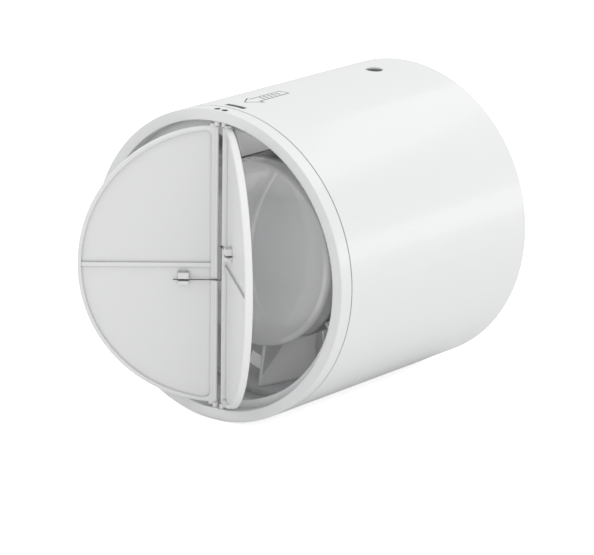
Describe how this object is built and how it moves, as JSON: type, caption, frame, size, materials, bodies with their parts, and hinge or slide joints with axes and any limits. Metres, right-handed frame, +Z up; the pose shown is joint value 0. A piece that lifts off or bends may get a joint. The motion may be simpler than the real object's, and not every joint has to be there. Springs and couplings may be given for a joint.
{
  "type": "bathroom extractor fan",
  "caption": "White in-duct tube extractor fan with two spring-loaded butterfly back-draught flaps at the outlet, a domed motor hub, guide vanes and an axial impeller.",
  "frame": {"origin": "on the tube axis, in the plane of the front ring's face at the flap (outlet) end", "axes": "+Y down the tube from the flap end to the intake end, +Z up, +X to the right when the flap end is looked at"},
  "size_m": [0.15, 0.1878, 0.15],
  "materials": {
    "casing_white": "smooth satin white moulded plastic",
    "flap_white": "smooth white moulded plastic",
    "spring_steel": "drawn spring wire",
    "inner_grey": "light grey moulded plastic",
    "dome_grey": "glossy light grey moulded plastic",
    "impeller_grey": "light grey moulded plastic",
    "lead_insulation": "soft cable insulation",
    "board_green": "solder resist",
    "capacitor_sleeve": "shrink sleeve",
    "component_black": "moulded epoxy",
    "zinc_steel": "zinc plated",
    "bearing_aluminium": "turned",
    "lamination_steel": "stacked laminations",
    "insulator_plastic": "moulded insulation",
    "copper_wire": "enamelled copper wire",
    "bearing_steel": "ground and polished",
    "terminal_plastic": "moulded",
    "bush_brass": "turned",
    "rotor_steel": "deep drawn, zinc plated",
    "magnet_ferrite": "sintered ferrite"
  },
  "bodies": {
    "housing": {"casing_tube": "casing_white", "front_ring": "casing_white", "torsion_spring": "spring_steel", "guide_vane_carrier": "inner_grey", "motor_leads": "lead_insulation", "motor_dome": "dome_grey", "circuit_board": "board_green", "board_capacitors": "capacitor_sleeve", "board_components": "component_black", "board_screws": "zinc_steel", "bearing_tube": "bearing_aluminium", "motor_screws": "zinc_steel", "stator_core": "lamination_steel", "winding_insulators": "insulator_plastic", "stator_windings": "copper_wire", "bearing_outer_races": "bearing_steel", "bearing_balls": "bearing_steel", "spring_washer": "spring_steel", "intake_ring": "casing_white", "terminal_block": "terminal_plastic", "terminal_screws": "zinc_steel"},
    "rotor": {"motor_shaft": "bearing_steel", "shaft_circlip": "spring_steel", "bearing_inner_races": "bearing_steel", "rotor_bush": "bush_brass", "rotor_cup": "rotor_steel", "magnet_ring": "magnet_ferrite", "impeller": "impeller_grey", "impeller_screws": "zinc_steel"},
    "flap_left": {"flap_left": "flap_white"},
    "flap_right": {"flap_right": "flap_white"}
  },
  "joints": [
    {"name": "impeller_spin", "type": "hinge", "parent": "housing", "child": "rotor", "pos_m": [0, 0.08, 0], "axis": [0, 1, 0], "continuous": true},
    {"name": "flap_left_hinge", "type": "hinge", "parent": "housing", "child": "flap_left", "pos_m": [-0.00095, 0.0025, 0], "axis": [0, 0, 1], "range_deg": [-39.5, 40.5], "deforming": ["torsion_spring"]},
    {"name": "flap_right_hinge", "type": "hinge", "parent": "housing", "child": "flap_right", "pos_m": [0.00335, 0.0025, 0], "axis": [0, 0, -1], "range_deg": [-41.7, 38.3], "deforming": ["torsion_spring"]}
  ]
}
